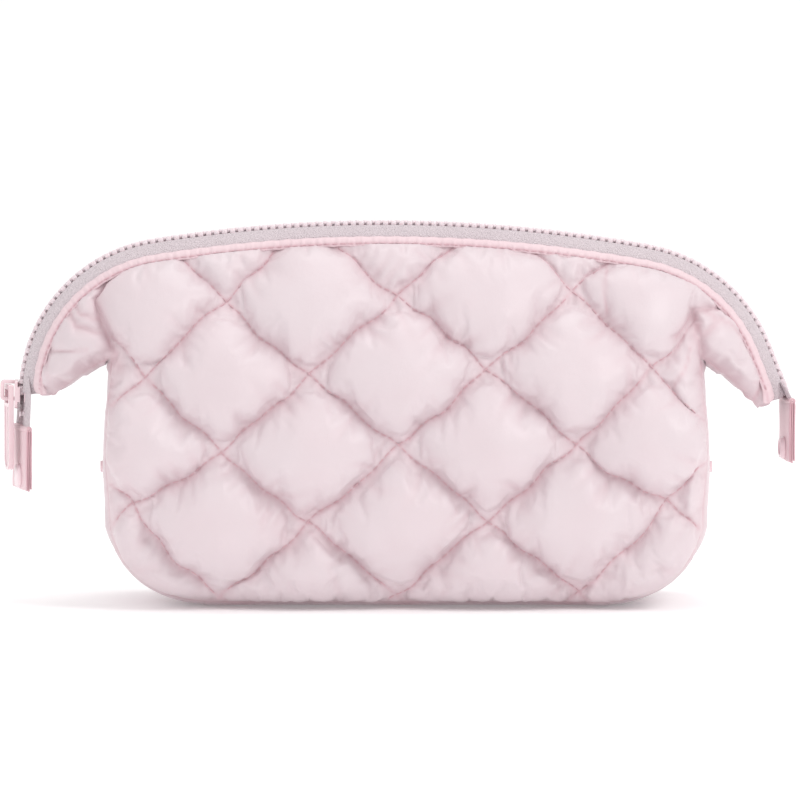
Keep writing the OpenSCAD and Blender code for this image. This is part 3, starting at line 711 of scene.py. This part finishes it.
def every(x, z, pitch):
    """Points at an even pitch along a line, with the line's direction at each."""
    far = np.concatenate([[0], np.cumsum(np.hypot(np.diff(x), np.diff(z)))])
    at = np.arange(pitch, far[-1] - pitch, pitch)
    return np.interp(at, far, x), np.interp(at, far, z), np.interp(at, far, np.gradient(x, far)), \
        np.interp(at, far, np.gradient(z, far))


bpy.context.view_layer.update()
fine_tree = BVHTree.FromObject(front, bpy.context.evaluated_depsgraph_get())


def on_front(x, z):
    """Depth of the front panel's finished face at front-view points, in mm; nan where there is none."""
    hits = [fine_tree.ray_cast(Vector((a * mm, -0.09, b * mm)), Vector((0, 1, 0)))[0] for a, b in zip(x, z)]
    return np.array([np.nan if hit is None else hit.y / mm for hit in hits])


starts, ends = [], []
for direction in (0, 1):
    for run_number in range(-4, 5):
        lx, lz = run_points(direction, run_number)
        keep = (np.abs(lx) < 125) & (lz > 0) & (lz < 145)
        if keep.sum() < 20:
            continue
        sx, sz, dx, dz = every(lx[keep], lz[keep], stitch_pitch)
        inner = (gap_to(sx, sz, outline)[0] > 2.0) & (in_wing(sx, sz) < 0.4)
        sx, sz, dx, dz = sx[inner], sz[inner], dx[inner], dz[inner]
        half = stitch_l / 2
        start_y = on_front(sx - dx * half, sz - dz * half)
        end_y = on_front(sx + dx * half, sz + dz * half)
        fine = np.isfinite(start_y) & np.isfinite(end_y) & (np.abs(start_y - end_y) < 1.6)
        lift = thread_r * 0.8
        starts.append(np.stack([sx - dx * half, start_y - lift, sz - dz * half], axis=1)[fine])
        ends.append(np.stack([sx + dx * half, end_y - lift, sz + dz * half], axis=1)[fine])
starts, ends = np.concatenate(starts), np.concatenate(ends)
thread = fabric("sewing_thread", (0.68, 0.45, 0.49), (0.58, 0.36, 0.40), 0.6, 0.1, 0.3, crumple=900.0)
for side, turned in (("front", 1), ("back", -1)):
    shape_of = np.array([1, turned, 1])
    piece = capsules(side + "_quilting_thread", starts * shape_of * mm, ends * shape_of * mm, thread_r * mm)
    piece.data.materials.append(thread)
    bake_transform(piece)

# Gusset: one strip of the same fabric, lightly padded, sewn between the two panels from the tip
# of the left wing, down the side, under the bottom and up to the tip of the right wing.
gx_seam, gz_seam = seam_line(24, 60, 90)
tangent = np.stack([np.gradient(gx_seam), np.gradient(gz_seam)], axis=1)
tangent = np.stack([np.convolve(np.pad(tangent[:, k], 3, mode="edge"), np.ones(7) / 7, "valid")
                    for k in (0, 1)], axis=1)
tangent = tangent / np.linalg.norm(tangent, axis=1, keepdims=True)
outward = np.stack([tangent[:, 1], -tangent[:, 0]], axis=1)
strip_s = np.concatenate([[0], np.cumsum(np.hypot(np.diff(gx_seam), np.diff(gz_seam)))])
strip_half = face_depth(gx_seam, gz_seam) + 0.7
strip_w = np.sin(np.linspace(-math.pi / 2, math.pi / 2, 57))
strip_w = 0.5 * strip_w + 0.5 * np.linspace(-1, 1, 57)
on_side = np.abs(gx_seam - body_shift) > side_x - corner_r
low = ease((gz_seam - 2) / 10)
swell = np.where(gz_seam > 89, 2.4, seam_foot + (3.0 - seam_foot) * low - 1.5 * ease((gz_seam - 36) / 26))
gy = strip_w[None, :] * strip_half[:, None]
strip_step, strip_rise = 31.0, 27.0   # half the gusset's diamonds, along it and across it
u = strip_s[:, None] / strip_step
v = gy / strip_rise
gp, gq = (u + v) / 2, (u - v) / 2
strip_run = np.minimum(np.abs(gp - np.round(gp)), np.abs(gq - np.round(gq)))
strip_run = strip_run * 2 * strip_step * strip_rise / math.hypot(strip_step, strip_rise)
near_stud = np.hypot(gz_seam[:, None] - 52, gy) + 100 * (~on_side[:, None])
calm = ease((near_stud - 5) / 7)
hollow = 2.0 * np.exp(-(strip_run / 3.2) ** 1.4) * low[:, None] * (0.4 + 0.6 * calm)
gathers = 0.32 * np.sin(strip_s[:, None] * 1.5 + 2.2 * np.sin(strip_s[:, None] * 0.21)
                        + 1.3 * strip_w[None, :])
gathers = gathers * np.exp(-(1 - np.abs(strip_w[None, :])) * strip_half[:, None] / 4.5) * low[:, None]
rise = swell[:, None] * (1 - np.abs(strip_w[None, :]) ** 5) - 1.3 * np.abs(strip_w[None, :]) ** 26
rise = rise - hollow * (1 - strip_w[None, :] ** 8) + gathers
rise = rise + (swell[:, None] - rise) * (1 - calm) * on_side[:, None]
rise = np.where(gz_seam[:, None] < 4, np.minimum(rise, seam_foot), rise)
strip = np.stack([gx_seam[:, None] + outward[:, :1] * rise, gy,
                  gz_seam[:, None] + outward[:, 1:] * rise], axis=-1)
strip[..., 2] = np.maximum(strip[..., 2], 0)
gusset = surface("gusset_strip", strip[:, ::-1] * mm)
# Painted shade on the gusset: darker along its quilting runs and towards its edges at the panel seams.
shade_paint = np.clip(np.exp(-strip_run / 2.6) * 0.8 + np.exp(-(1 - np.abs(strip_w[None, :])) * 9), 0, 1)
mask(gusset, "painted_shade", shade_paint[:, ::-1].ravel())
gusset.data.materials.append(satin)
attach(gusset, "root")
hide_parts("gusset")

# Zip tapes: two woven tapes, each sewn under the binding of its lip; they carry the teeth.
tape_n = 1.0
lips_from = left_r * (left_rest - (math.pi - math.asin((87 - left_c[1]) / left_r)))
lips_to = route_len - 7 / math.cos(right_end)


def tape_face(n):
    """Distance of the tape's outer face from the middle of the zip, where it slopes down, in mm."""
    return 5.4 + (np.asarray(n) - tape_n) * 4.6 / 7.6


def carried(name, s, n, w, side, close_ends=0.0):
    """A cross-section (n inward, w outward) carried along the zip's line as one closed tube.

    n and w may change along it; the ends can draw in to a rounded point."""
    n, w = np.broadcast_to(n, (len(s), np.shape(n)[-1])), np.broadcast_to(w, (len(s), np.shape(w)[-1]))
    if close_ends:
        far = np.minimum(s - s[0], s[-1] - s) / close_ends
        size = np.sqrt(1 - (1 - np.clip(far, 0.002, 1)) ** 2)[:, None]
        n = n.mean(1, keepdims=True) + (n - n.mean(1, keepdims=True)) * size
        w = w.mean(1, keepdims=True) + (w - w.mean(1, keepdims=True)) * size
    x, z = route(s[:, None], n)
    points = np.stack([x, side * w, z], axis=-1)
    if side > 0:
        points = points[:, ::-1]
    return surface(name, points * mm, close_v=True)


tape_cloth = fabric("zip_tape_weave", (0.73, 0.64, 0.675), (0.57, 0.45, 0.50), 0.65, 0.3, 0.9,
                    threads=1500.0, crumple=500.0, share=1.2)
tape_s = np.concatenate([np.linspace(0.2, route_len - 0.2, 420)])
tape_profile_n = np.array([1.5, 1.5, 1.65, 2.2, 3.2, 5.0, 8.4, 8.5, 8.3, 5.0, 3.2, 2.4, 2.0, 1.9])
tape_profile_w = np.array([1.9, 3.9, 4.7, 5.6, 6.5, 7.85, 9.9, 9.7, 9.4, 7.4, 6.0, 5.2, 4.5, 1.9])
for side, turned in (("front", -1), ("back", 1)):
    waver = 0.12 * np.sin(tape_s * 0.37 + turned) * np.sin(tape_s * 0.11)
    piece = carried(side + "_zip_tape", tape_s, tape_profile_n, tape_profile_w + waver[:, None], turned, 0.8)
    piece.data.materials.append(tape_cloth)
    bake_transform(piece)
    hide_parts(side + "_tape")

# Binding: a bias strip folded over the panel's raw edge and the tape, sewn through near its foot.
# Its spare length stands up in small gathers, and it ends in a rounded lip at each wing's tip.
# The binding's deep tint is painted shade, laid on in its sewing groove and on its under face.
bind_cloth = fabric("binding_cloth", (0.79, 0.62, 0.655), (0.66, 0.43, 0.48), 0.42, 0.3, 0.5, crumple=240.0,
                    attribute="painted_shade")
bind_s = np.linspace(0.6, route_len - 0.6, 1100)
bind_turn = np.linspace(0, 2 * math.pi, 18, endpoint=False)
tip = np.exp(-np.minimum(bind_s, route_len - bind_s) / 3.5)[:, None]
middle_n = 7.35 + 2.2 * tip
half_n = 1.8 + 1.4 * tip
gather = 0.16 * np.sin(bind_s * 1.55 + 2.5 * np.sin(bind_s * 0.13))
gather = gather + 0.1 * np.sin(bind_s * 2.9 + 1.7 * np.sin(bind_s * 0.31))
bind_n = middle_n + half_n * np.cos(bind_turn)[None, :] + 0.10 * np.sin(bind_s * 0.9)[:, None]
crest = np.sin(bind_turn)[None, :]
bind_w = tape_face(bind_n) + 0.75 + (1.15 + gather[:, None] * (crest > 0)) * crest
groove = np.exp(-((bind_n - middle_n - 0.75) / 0.42) ** 2) * (crest > 0.2)
bind_w = bind_w - 0.32 * groove
for side, turned in (("front", -1), ("back", 1)):
    piece = carried(side + "_edge_binding", bind_s, bind_n, bind_w, turned, 2.2)
    # painted shade: darker in the sewing groove and on the under face that lies against the tape
    shade_paint = np.clip(0.8 * groove + 0.5 * (crest < 0), 0, 1)
    mask(piece, "painted_shade", (shade_paint if turned < 0 else shade_paint[:, ::-1]).ravel())
    piece.data.materials.append(bind_cloth)
    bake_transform(piece)
    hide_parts(side + "_binding")
    sewn = np.arange(4.0, route_len - 4.0, 3.1)
    ends_of = []
    for end in (-1.15, 1.15):
        at = sewn + end
        sn = 7.35 + 0.75 + 0.10 * np.sin(at * 0.9)
        sx, sz = route(at, sn)
        ends_of.append(np.stack([sx, turned * (tape_face(sn) + 0.75 + 1.05 - 0.12), sz], axis=1))
    piece = capsules(side + "_binding_stitches", ends_of[0] * mm, ends_of[1] * mm, 0.24 * mm)
    piece.data.materials.append(thread)
    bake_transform(piece)

# Teeth: moulded plastic, each with a broad foot that grips the tape and a narrower head that
# reaches past the middle of the zip, between two heads of the other row.
tooth_pitch = 3.1


def teeth(name, at, side):
    """A row of teeth: each is a ring shape (along the zip, across it) drawn out from head to foot."""
    turn = np.linspace(0, 2 * math.pi, 10, endpoint=False)
    square = lambda t: np.sign(t) * np.abs(t) ** 0.55
    w = np.array([-0.92, -0.86, -0.5, 0.4, 0.95, 1.35, 2.7, 2.98, 3.05])
    long = np.array([0.05, 0.58, 0.74, 0.70, 0.74, 1.02, 1.05, 0.85, 0.05])
    thick = np.array([0.05, 0.72, 0.95, 1.0, 1.04, 1.1, 1.1, 0.9, 0.05])
    ds = long[:, None] * square(np.cos(turn))[None, :]
    dn = 1.0 + 1.08 * thick[:, None] * square(np.sin(turn))[None, :]
    x, z = route(at[:, None, None], dn[None])
    angle = route_angle(at)[:, None, None]
    x = x + ds[None] * np.sin(angle)
    z = z - ds[None] * np.cos(angle)
    y = np.broadcast_to(side * w[None, :, None], x.shape)
    points = np.stack([x, y, z], axis=-1)
    index = np.arange(x.size).reshape(x.shape)
    after = np.roll(index, -1, axis=2)
    order = [index[:, :-1], index[:, 1:], after[:, 1:], after[:, :-1]]
    cells = np.stack(order if side < 0 else order[::-1], axis=-1).reshape(-1, 4)
    return mesh_object(name, points.reshape(-1, 3) * mm, cells)


def plastic(name, tint, deep, roughness, coat, grain):
    """Moulded plastic: a faint cloudy tint, fine grain, and a soft or clear gloss."""
    made = bpy.data.materials.new(name)
    made.use_nodes = True
    tree = made.node_tree
    shader = tree.nodes["Principled BSDF"]
    shader.inputs["Roughness"].default_value = roughness
    shader.inputs["Coat Weight"].default_value = coat
    shader.inputs["Coat Roughness"].default_value = 0.12
    shader.inputs["Subsurface Weight"].default_value = 0.08
    shader.inputs["Subsurface Radius"].default_value = (0.003, 0.002, 0.002)
    tone = tree.nodes.new("ShaderNodeGroup")
    tone.node_tree = cloth_tone
    tone.inputs["Light"].default_value = (*tint, 1)
    tone.inputs["Deep"].default_value = (*deep, 1)
    tone.inputs["Cloud size"].default_value = 120
    join(tree, tone.outputs["Color"], shader.inputs["Base Color"])
    weave = tree.nodes.new("ShaderNodeGroup")
    weave.node_tree = fine_weave
    weave.inputs["Crumple"].default_value = grain
    weave.inputs["Thread share"].default_value = 0.0
    relief = tree.nodes.new("ShaderNodeBump")
    relief.inputs["Strength"].default_value = 0.12
    relief.inputs["Distance"].default_value = 0.0002
    join(tree, weave.outputs["Height"], relief.inputs["Height"])
    join(tree, relief.outputs["Normal"], shader.inputs["Normal"])
    return made


tooth_plastic = plastic("tooth_plastic", (0.84, 0.73, 0.765), (0.72, 0.58, 0.63), 0.34, 0.25, 1400.0)
tooth_count = int((lips_to - lips_from - 2.1 - 0.1) // tooth_pitch) + 1
for side, turned, shift in (("front", -1, 0.1), ("back", 1, 0.1 + tooth_pitch / 2)):
    at = lips_from + 1.05 + shift + tooth_pitch * np.arange(-2, tooth_count + 1)
    at = at[at < route_len - 2.5]
    piece = teeth(side + "_tooth_row", at, turned)
    piece.data.materials.append(tooth_plastic)
    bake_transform(piece)
    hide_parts(side + "_teeth")
hidden_row = teeth("end_tooth_row", np.array([0.8, 2.35]), -1)
hidden_row.data.materials.append(tooth_plastic)
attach(hidden_row, "root")
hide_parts("left_end_teeth")

# Zip ends: below each wing's tip the two tapes lie flat against each other and hang, turned a
# little, to the tab that closes over them.
left_hang = np.array(route(0, tape_n + 0.3)) * [1, 0]
tab_w, tab_l = 25.0, 25.0
left_tab_h, right_tab_h = 68.0, 79.0
left_tab_turn, right_tab_turn = math.radians(15), math.radians(7)
joint_at = {joint["name"]: joint for joint in frame["joints"]}


def hanging_tape(name, top, foot, half_top, half_foot, turn, node):
    """A flat tape from a top to a foot point (x, z) in mm; it turns about its middle as it falls."""
    v = np.linspace(0, 1, 26)
    rim = np.linspace(0, 2 * math.pi, 40, endpoint=False)
    square = lambda t: np.sign(t) * np.abs(t) ** 0.35
    wide = (half_top + (half_foot - half_top) * ease(v * 2.4))[:, None] * square(np.cos(rim))[None, :]
    thin = 0.42 * square(np.sin(rim))[None, :] + 0.25 * np.sin(wide * 0.5 + 2 * v[:, None])
    around = (turn * (0.8 + 0.2 * v))[:, None]
    x = top[0] + (foot[0] - top[0]) * v[:, None] + thin * np.cos(around) - wide * np.sin(around)
    y = wide * np.cos(around) + thin * np.sin(around)
    z = top[1] + (foot[1] - top[1]) * v[:, None] + 0 * wide
    grid = np.stack([x, y, z], axis=-1)
    ends = np.stack([grid.mean(1)[:1], grid.mean(1)[-1:]])
    grid = np.concatenate([np.repeat(ends[0][:, None], 40, 1), grid, np.repeat(ends[1][:, None], 40, 1)])
    piece = surface(name, grid * mm, close_v=True)
    piece.data.materials.append(tape_cloth)
    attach(piece, "root")
    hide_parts(node)


hanging_tape("left_hanging_tape", (left_hang[0] + 1.2, 87), (left_hang[0], 67.6), 7.5, 11.4, left_tab_turn,
             "left_end_tape")
right_top = np.array(route(route_len - 6.0, tape_n + 1.2))
right_foot = joint_at["right_tab_swing"]["pos_m"][0] / mm
hanging_tape("right_hanging_tape", right_top, (right_foot, 78.2), 7.0, 11.0, right_tab_turn, "right_end_tape")


def softened(name, nodes, size, material, body, angle=0.6):
    """Copies of hard CAD solids with their edges rounded off, as a mould leaves them."""
    for node in nodes:
        mesh = frame["nodes"][node].data.copy()
        piece = bpy.data.objects.new(node + name, mesh)
        bpy.context.scene.collection.objects.link(piece)
        mesh.materials.clear()
        mesh.materials.append(material)
        weld = piece.modifiers.new("weld", "WELD")
        weld.merge_threshold = 0.00001
        bevel = piece.modifiers.new("bevel", "BEVEL")
        bevel.width = size * mm
        bevel.segments = 3
        bevel.limit_method = "ANGLE"
        bevel.angle_limit = angle
        bevel.use_clamp_overlap = True
        bevel.harden_normals = False
        mesh.shade_smooth()
        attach(piece, body)
        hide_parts(node)


softened("_moulded", ["top_stops", "bottom_stop"], 0.25, tooth_plastic, "root")

# Slider: a glossy moulded body with a flat bridge over it, and a slim pull with a raised rim
# that hangs from the bridge by its top bar.
slider_plastic = plastic("slider_plastic", (0.86, 0.66, 0.70), (0.80, 0.58, 0.62), 0.26, 0.6, 300.0)
softened("_glossy", ["slider_body", "slider_bridge"], 0.35, slider_plastic, "slider")
softened("_glossy", ["zip_pull"], 0.4, slider_plastic, "pull")

# Snap tabs: a strip of fabric folded over the tape's end into four layers, pressed flat and
# pierced by a two-part plastic snap; the layers show along its edges.
# The tab cloth's deep tint is painted shade, laid on towards the edges of the stacked layers.
tab_cloth = fabric("tab_cloth", (0.84, 0.62, 0.66), (0.62, 0.35, 0.40), 0.42, 0.25, 0.5, crumple=200.0,
                   attribute="painted_shade")


def folded_tab(name, hang_x, top, turn, body, node):
    """Three flat rounded layers under one wrapping fold; each is a ring of (across, thickness).

    Rings are drawn down from the fold's crown to the foot."""
    v = np.concatenate([np.linspace(0, 0.06, 6), np.linspace(0.08, 0.95, 22), np.linspace(0.965, 1, 6)])
    rim = np.linspace(0, 2 * math.pi, 48, endpoint=False)
    square = lambda t: np.sign(t) * np.abs(t) ** 0.3
    parts = []
    masks = []
    for layer, (off, short) in enumerate(((-0.80, 0.5), (0.0, 0.0), (0.80, 0.9))):
        half_y = tab_w / 2 - 0.35 * (layer == 1) + 0.12 * np.sin(v * 9 + layer)[:, None]
        drop = v * (tab_l - short)
        near = np.minimum(drop, (tab_l - short) - drop)
        round_off = np.sqrt(1 - (1 - np.clip(near / 0.5, 0.02, 1)) ** 2)[:, None]
        half_t = 0.40 * round_off
        w = half_y * square(np.cos(rim))[None, :] * (1 - 0.02 * (1 - round_off))
        t = off + half_t * square(np.sin(rim))[None, :]
        roll = ease(1 - drop / 3.2)[:, None]
        t = t * (1 - 0.35 * roll) + 0.10 * np.sin(w * 0.42 + 5 * v[:, None])
        x = hang_x + t * math.cos(turn) - w * math.sin(turn)
        y = w * math.cos(turn) + t * math.sin(turn)
        z = top - drop[:, None] + 0 * w
        parts.append(np.stack([x, y, z], axis=-1))
        # painted shade: darker towards each layer's side edges, where the layers stack
        masks.append(np.clip(np.exp(-(tab_w / 2 - np.abs(w)) / 1.1) * 0.7, 0, 1))
    pieces = [surface(name + "_" + str(k), part * mm, close_v=True) for k, part in enumerate(parts)]
    for piece, values in zip(pieces, masks):
        mask(piece, "painted_shade", values.ravel())
        piece.data.materials.append(tab_cloth)
    # the wrapping fold over the top
    across = np.linspace(-tab_w / 2 - 0.2, tab_w / 2 + 0.2, 30)
    around = np.linspace(0, 2 * math.pi, 20, endpoint=False)
    taper = np.sqrt(1 - np.clip(np.abs(across) / (tab_w / 2 + 0.21), 0, 0.9999) ** 14)[:, None]
    t = 1.45 * taper * np.cos(around)[None, :] + 0.12 * np.sin(across * 0.5)[:, None]
    z = top - 1.2 + 1.35 * taper * np.sin(around)[None, :] + 0.15 * np.sin(across * 0.33)[:, None]
    x = hang_x + t * math.cos(turn) - across[:, None] * math.sin(turn)
    y = across[:, None] * math.cos(turn) + t * math.sin(turn)
    fold = surface(name + "_fold", np.stack([x, y, z], axis=-1) * mm, close_v=True)
    # the wrapping fold gets a slight even share of the painted-shade tint
    mask(fold, "painted_shade", np.full(x.size, 0.1))
    fold.data.materials.append(tab_cloth)
    for piece in pieces + [fold]:
        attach(piece, body)
    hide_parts(node)


folded_tab("left_snap_tab", joint_at["left_tab_swing"]["pos_m"][0] / mm, left_tab_h,
           left_tab_turn, "left_tab", "left_tab")
folded_tab("right_snap_tab", joint_at["right_tab_swing"]["pos_m"][0] / mm, right_tab_h,
           right_tab_turn, "right_tab", "right_tab")

# Snap fasteners: moulded caps and sockets on the tabs, studs on the body's sides, and the posts
# that hold the studs from inside.
snap_plastic = plastic("snap_plastic", (0.86, 0.68, 0.72), (0.80, 0.60, 0.64), 0.3, 0.45, 300.0)
for name, nodes in (("left_tab", ["left_snap_cap", "left_snap_socket"]),
                    ("right_tab", ["right_snap_cap", "right_snap_socket"]),
                    ("root", ["left_side_stud", "right_side_stud", "left_stud_post", "right_stud_post"])):
    softened("_moulded", nodes, 0.22, snap_plastic, name, 0.5)

# Linings: a thin woven fabric sewn in along the same seams, loose behind the quilted panels.
lining_cloth = fabric("lining_cloth", (0.84, 0.68, 0.71), (0.72, 0.52, 0.56), 0.55, 0.2, 0.5, threads=1800.0,
                      crumple=60.0, share=0.5)
lining_in = 5.2
wing = np.linspace(0, 1, 22)
tops_s = np.concatenate([wing_len * wing, wing_len + neck_len * np.linspace(0, 1, 30)[1:]])
side_h = np.linspace(neck_h - 2, 10, 30)[1:]
left_wx, left_wz = wing_edge(-1, 1 - wing)
left_x_low = np.concatenate([left_wx, body_shift - side_edge(side_h) + lining_in - seam_in])
left_z_low = np.concatenate([left_wz + 2.2 * (1 - 0.6 * (1 - wing)), side_h])
count = 70
middle_s = np.linspace(wing_len + neck_len, route_len - wing_len - neck_len, count)[1:-1]
middle_x = np.linspace(left_x_low[-1], 2 * body_shift - left_x_low[-1], count)[1:-1]
right_wx, right_wz = wing_edge(1, 1 - wing)
right_x_low = np.concatenate([right_wx, body_shift + side_edge(side_h) - lining_in + seam_in])
right_z_low = np.concatenate([right_wz + 2.2 * (1 - 0.6 * (1 - wing)), side_h])
tops = np.concatenate([tops_s, middle_s, route_len - tops_s[::-1]])
low_x = np.concatenate([left_x_low, middle_x, right_x_low[::-1]])
low_z = np.concatenate([left_z_low, np.full(count - 2, 10.0), right_z_low[::-1]])
high_x, high_z = route(tops, 8.9)
rows = np.linspace(0, 1, 50)[:, None]
lx = low_x + (high_x - low_x) * rows
lz = low_z + (high_z - low_z) * rows
sag = 0.5 * np.sin(lx * 0.11 + 1.3) * np.sin(lz * 0.14) + 0.35 * np.sin(lx * 0.31 + lz * 0.2)
gap_in = line_distance(lx, lz, seam)
behind = valley_d + 5.6 + edge_fall(gap_in) * 0.9
behind = behind * (0.55 + 0.45 * ease((inside(lx, lz) - 8.5) / 8))
lining_y = np.minimum(-(half_depth(lx, lz) - behind + sag * ease(gap_in / 20)), -1.2)
for side, turned in (("front", 1), ("back", -1)):
    grid = np.stack([lx, lining_y * turned, lz], axis=-1)
    piece = surface(side + "_inner_lining", (grid if turned < 0 else grid[:, ::-1]) * mm)
    piece.data.materials.append(lining_cloth)
    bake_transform(piece)
    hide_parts(side + "_lining")

ring_s = slice(23, len(gx_seam) - 23)
inner_w = np.linspace(-1, 1, 31)
draw_in = 4.9
ring_half = strip_half[ring_s] - 0.8
ring_x = gx_seam[ring_s, None] - outward[ring_s, :1] * draw_in + 0 * inner_w
ring_z = gz_seam[ring_s, None] - outward[ring_s, 1:] * draw_in + 0 * inner_w
ring = np.stack([ring_x, inner_w[None, :] * ring_half[:, None], ring_z], axis=-1)
inner_ring = surface("gusset_inner_lining", ring * mm)
inner_ring.data.materials.append(lining_cloth)
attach(inner_ring, "root")
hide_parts("gusset_lining")
